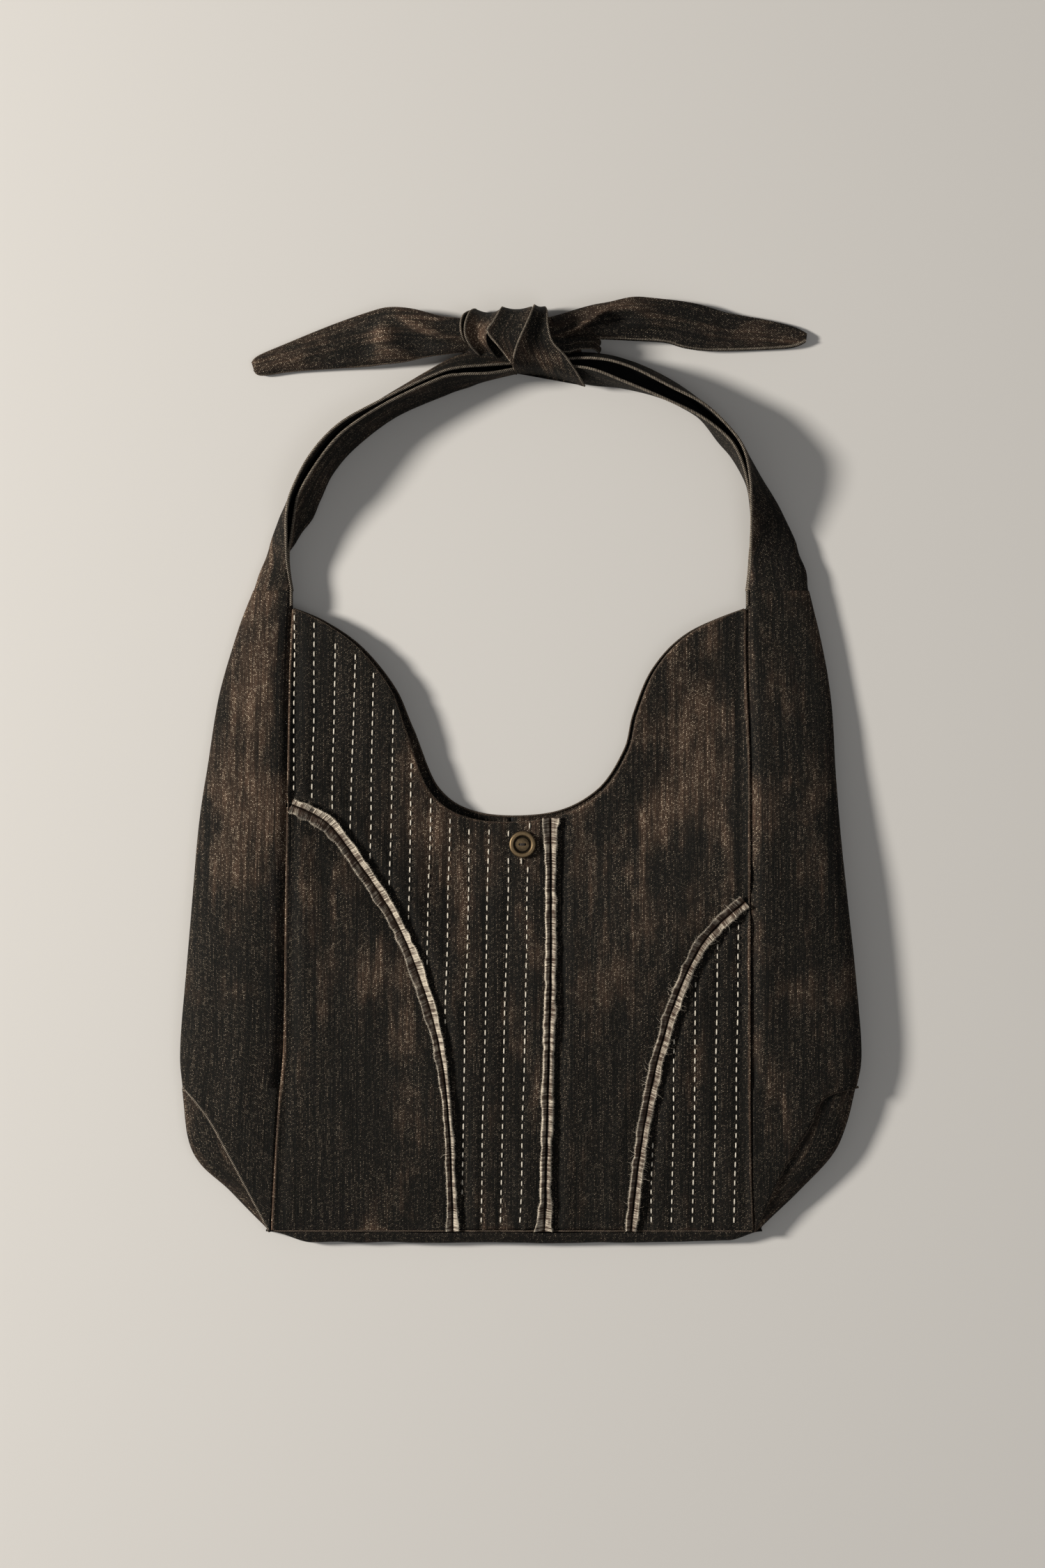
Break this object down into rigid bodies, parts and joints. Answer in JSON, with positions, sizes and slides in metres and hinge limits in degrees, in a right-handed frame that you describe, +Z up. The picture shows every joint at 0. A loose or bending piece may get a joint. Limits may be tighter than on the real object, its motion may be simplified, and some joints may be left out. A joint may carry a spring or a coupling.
{
  "type": "denim shoulder bag",
  "caption": "Slouchy denim shoulder bag lying flat, with a scooped mouth, raw-edge seams, quilted panels, folding side gussets and a knotted strap.",
  "frame": {"origin": "centre of the bag's outline, on the surface that it lies on", "axes": "+Z up out of the front of the bag, +Y from the bottom of the bag to the knot, +X to the right as seen from the front"},
  "size_m": [0.4398, 0.6138, 0.0335],
  "materials": {
    "denim": "overdyed black 3/1 twill denim with brown specks, mottled wash and worn seams",
    "strap_denim": "overdyed black twill denim, double layer, with ribbed overcast edges",
    "raw_edge": "frayed raw denim edge, cream and brown weft ribs",
    "stitching": "off-white cotton running stitch",
    "lining": "matt black plain-weave cotton",
    "button_brass": "antique brass, dark in the groove and worn bright on the rim",
    "snap_brass": "satin brass plating",
    "washer_steel": "plain steel washer",
    "dark_thread": "dark brown waxed thread"
  },
  "bodies": {
    "bag": {"back_left": "denim", "back_right": "denim", "back_facing": "lining", "back_lining": "lining", "gusset_left": "denim", "gusset_right": "denim", "base_end_left": "denim", "base_end_right": "denim", "base_panel": "denim", "snap_stud": "snap_brass", "snap_stud_washer": "washer_steel"},
    "front": {"front_left_lower": "denim", "front_left_centre": "denim", "front_right_centre": "denim", "front_right_lower": "denim", "raw_seam_left": "raw_edge", "raw_seam_centre": "raw_edge", "raw_seam_right": "raw_edge", "quilting_left": "stitching", "quilting_right": "stitching", "front_facing": "lining", "front_lining": "lining", "snap_socket": "snap_brass", "snap_socket_washer": "washer_steel", "button_thread": "dark_thread"},
    "button": {"button": "button_brass"},
    "strap": {"strap_left": "strap_denim", "strap_right": "strap_denim", "strap_facing_left": "lining", "strap_facing_right": "lining", "knot_collar": "strap_denim", "knot_cross": "strap_denim", "knot_core": "strap_denim"},
    "tail_left": {"tail_left": "strap_denim"},
    "tail_right": {"tail_right": "strap_denim"}
  },
  "joints": [
    {"name": "bag_opens", "type": "hinge", "parent": "bag", "child": "front", "pos_m": [0, 0.1273, 0.0158], "axis": [-1, 0, 0], "range_deg": [0, 8]},
    {"name": "button_turns", "type": "hinge", "parent": "front", "child": "button", "pos_m": [0.002, -0.046, 0.0123], "axis": [0, 0, 1], "range_deg": [-7, 7]},
    {"name": "strap_folds", "type": "hinge", "parent": "bag", "child": "strap", "pos_m": [0, 0.1273, 0.0158], "axis": [1, 0, 0], "range_deg": [0, 120]},
    {"name": "left_tail_lifts", "type": "hinge", "parent": "strap", "child": "tail_left", "pos_m": [-0.0375, 0.283, 0.018], "axis": [0, 1, 0], "range_deg": [0, 75]},
    {"name": "right_tail_lifts", "type": "hinge", "parent": "strap", "child": "tail_right", "pos_m": [0.0345, 0.288, 0.018], "axis": [0, -1, 0], "range_deg": [0, 75]}
  ]
}
